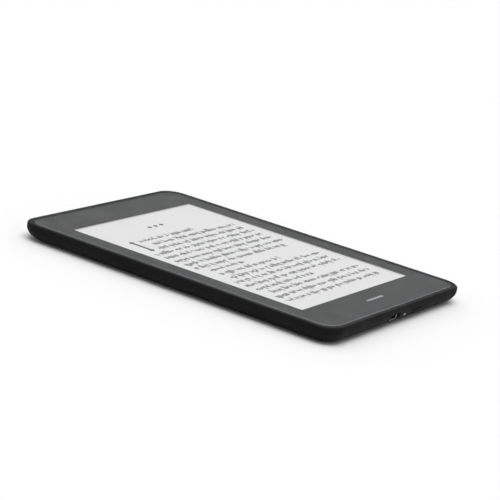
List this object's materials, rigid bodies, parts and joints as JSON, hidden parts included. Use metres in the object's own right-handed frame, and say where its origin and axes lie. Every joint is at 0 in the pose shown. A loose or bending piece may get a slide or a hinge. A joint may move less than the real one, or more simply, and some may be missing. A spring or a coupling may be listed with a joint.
{
  "type": "e-reader",
  "caption": "Slim handheld electronic book reader with a flush matte front, a reflective page display, a soft-touch curved back and a sprung power button on its bottom edge.",
  "frame": {"origin": "the middle of the flat back, on the surface that the reader lies on", "axes": "+X towards the reader's right, +Y towards the top of the page, +Z out of the page"},
  "size_m": [0.116, 0.167, 0.0082],
  "materials": {
    "soft_touch_shell": "black soft-touch paint over moulded plastic, very fine grain",
    "matte_lens": "clear plastic with an anti-glare matte face",
    "border_print": "dark grey border printed behind the lens",
    "seal_rubber": "black silicone and foam seals",
    "clear_film": "clear moulded or cast plastic",
    "page_layer": "light grey reflective page with dark grey print",
    "display_glass": "thin display glass",
    "chip_black": "black moulded chip resin",
    "foam_tape": "double-sided foam tape",
    "ribbon_flex": "amber polyimide over copper tracks",
    "white_plastic": "cream moulded connector plastic",
    "chassis_plastic": "dark grey glass-filled plastic",
    "plated_steel": "tin-plated pressed steel",
    "circuit_board": "green solder mask over copper tracks",
    "battery_foil": "foil pouch",
    "lead_black": "black insulated lead"
  },
  "bodies": {
    "reader": {"rear_cover": "soft_touch_shell", "cover_lens": "matte_lens", "border_film": "border_print", "lens_gasket": "seal_rubber", "charge_port_seal": "seal_rubber", "button_seal": "seal_rubber", "touch_film": "clear_film", "light_guide": "clear_film", "status_light_pipe": "clear_film", "display_ink_layer": "page_layer", "display_backplane": "display_glass", "display_driver": "chip_black", "display_tape_left": "foam_tape", "display_tape_right": "foam_tape", "light_strip": "ribbon_flex", "front_lamp_1": "white_plastic", "front_lamp_2": "white_plastic", "front_lamp_3": "white_plastic", "front_lamp_4": "white_plastic", "display_ribbon": "ribbon_flex", "touch_ribbon": "ribbon_flex", "light_ribbon": "ribbon_flex", "display_socket": "white_plastic", "touch_socket": "white_plastic", "light_socket": "white_plastic", "chassis": "chassis_plastic", "chassis_screw_1": "plated_steel", "chassis_screw_2": "plated_steel", "chassis_screw_3": "plated_steel", "chassis_screw_4": "plated_steel", "chassis_screw_5": "plated_steel", "chassis_screw_6": "plated_steel", "chassis_screw_7": "plated_steel", "chassis_screw_8": "plated_steel", "board_screw_1": "plated_steel", "board_screw_2": "plated_steel", "board_screw_3": "plated_steel", "board_screw_4": "plated_steel", "main_board": "circuit_board", "processor_shield": "plated_steel", "radio_shield": "plated_steel", "memory_chip": "chip_black", "power_chip": "chip_black", "power_coil": "chip_black", "magnet_sensor": "chip_black", "battery_pack": "battery_foil", "battery_guard_board": "circuit_board", "battery_socket": "white_plastic", "battery_lead": "ribbon_flex", "battery_tape_left": "foam_tape", "battery_tape_right": "foam_tape", "antenna": "ribbon_flex", "antenna_lead": "lead_black", "charge_port": "plated_steel", "charge_port_tongue": "chip_black", "switch_body": "chip_black", "status_lamp": "white_plastic"},
    "button": {"power_button": "soft_touch_shell"},
    "plunger": {"switch_plunger": "white_plastic"}
  },
  "joints": [
    {"name": "power_button_press", "type": "slide", "parent": "reader", "child": "button", "axis": [0, 1, 0], "range_m": [0, 0.0003], "stiffness_N_per_m": 4000},
    {"name": "switch_plunger_press", "type": "slide", "parent": "reader", "child": "plunger", "axis": [0, 1, 0], "range_m": [0, 0.0003]}
  ],
  "couplings": [
    {"joint": "switch_plunger_press", "follows": "power_button_press", "ratio": 1}
  ]
}
